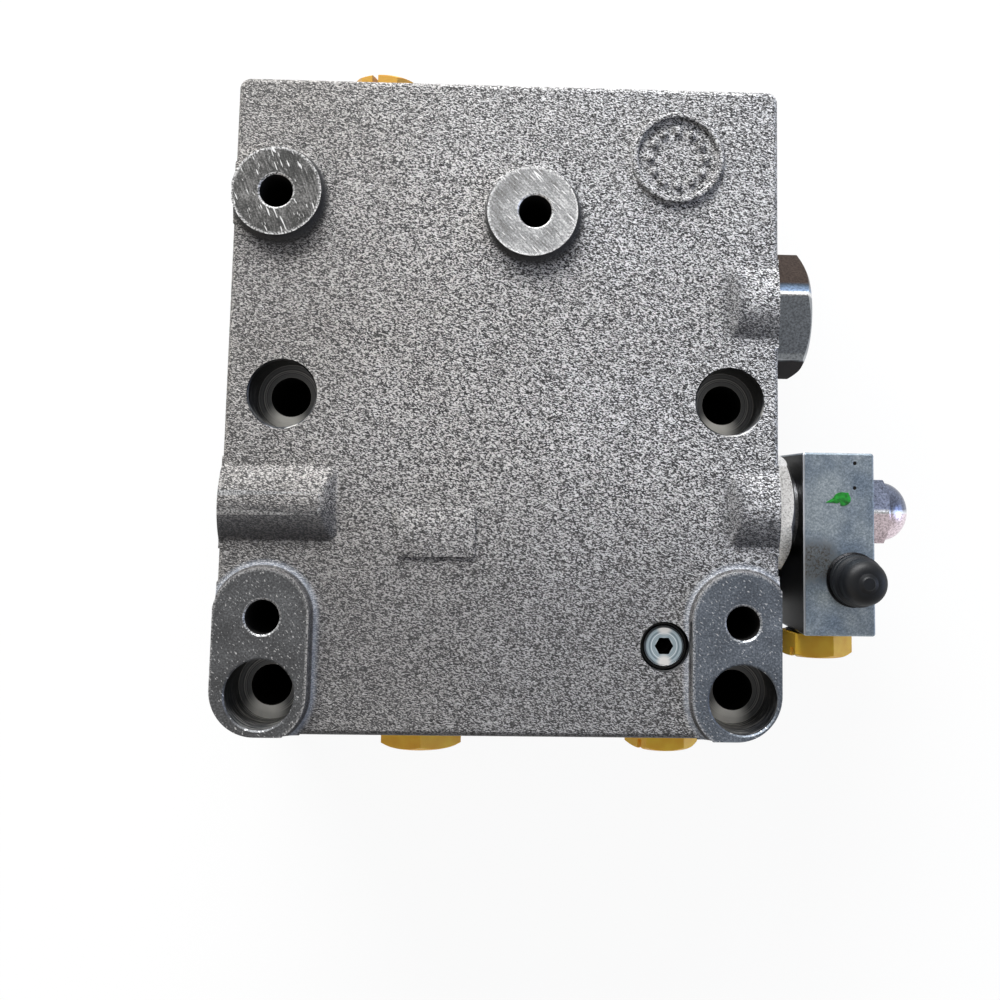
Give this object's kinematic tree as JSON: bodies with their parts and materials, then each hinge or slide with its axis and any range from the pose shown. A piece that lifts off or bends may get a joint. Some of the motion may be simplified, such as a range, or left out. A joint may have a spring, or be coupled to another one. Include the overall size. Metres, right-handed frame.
{
  "type": "hydraulic safety valve end section",
  "caption": "Cast end section of a stacked hydraulic valve with an unloading spool, a relief poppet, a clamped side block with a capped test nipple, and plastic transit plugs.",
  "frame": {"origin": "centre of the machined mating face at the back of the casting", "axes": "+Z out of the cast outer face, +X towards the side block, +Y towards the end with the pressure port"},
  "size_m": [0.1908, 0.1908, 0.0557],
  "materials": {
    "cast_iron": "shot blasted casting, machined on its pads and ends",
    "ground_steel": "hardened and ground",
    "spring_steel": "oil tempered wire",
    "plated_plug": "plated and passivated hexagon bar, slightly tarnished",
    "zinc_steel": "bright zinc plate",
    "black_steel": "black oxide",
    "block_steel": "drawn bar, zinc plated, satin",
    "soft_washer": "steel washer with a bonded rubber lip",
    "yellow_plastic": "moulded polyethylene, satin",
    "black_rubber": "moulded, satin",
    "seal_rubber": "nitrile, semi gloss"
  },
  "bodies": {
    "valve": {"valve_body": "cast_iron", "spool_spring": "spring_steel", "spool_plug": "plated_plug", "spool_plug_seal": "seal_rubber", "end_plug": "black_steel", "end_plug_seal": "soft_washer", "relief_seat": "ground_steel", "relief_spring": "spring_steel", "spring_seat": "ground_steel", "relief_adapter": "zinc_steel", "adapter_seal": "seal_rubber", "clamp_stud": "zinc_steel", "block_seal": "soft_washer", "side_block": "block_steel", "nut_seal": "seal_rubber", "cap_nut": "zinc_steel", "test_nipple": "zinc_steel", "nipple_seal": "seal_rubber", "nipple_spring": "spring_steel", "nipple_retainer": "ground_steel", "gallery_plug": "zinc_steel", "gallery_plug_seal": "seal_rubber", "pressure_port_plug": "yellow_plastic", "signal_port_plug": "yellow_plastic", "tank_port_plug": "yellow_plastic", "drain_port_plug": "yellow_plastic", "side_port_plug": "yellow_plastic", "pressure_port_ring": "seal_rubber", "signal_port_ring": "seal_rubber", "tank_port_ring": "seal_rubber", "drain_port_ring": "seal_rubber", "side_port_ring": "seal_rubber", "pressure_face_seal": "seal_rubber", "tank_face_seal": "seal_rubber", "signal_face_seal": "seal_rubber"},
    "spool": {"spool": "ground_steel"},
    "poppet": {"relief_poppet": "ground_steel"},
    "check_pin": {"nipple_valve": "ground_steel"},
    "cap": {"nipple_cap": "black_rubber"}
  },
  "joints": [
    {"name": "spool_slide", "type": "slide", "parent": "valve", "child": "spool", "axis": [1, 0, 0], "range_m": [0, 0.006], "stiffness_N_per_m": 1500, "deforming": ["spool_spring"]},
    {"name": "poppet_lift", "type": "slide", "parent": "valve", "child": "poppet", "axis": [1, 0, 0], "range_m": [0, 0.0025], "stiffness_N_per_m": 2000, "deforming": ["relief_spring"]},
    {"name": "test_pin_press", "type": "slide", "parent": "valve", "child": "check_pin", "axis": [0, 0, -1], "range_m": [0, 0.0015], "stiffness_N_per_m": 200, "deforming": ["nipple_spring"]},
    {"name": "cap_pull", "type": "slide", "parent": "valve", "child": "cap", "axis": [0, 0, 1], "range_m": [0, 0.014]}
  ]
}
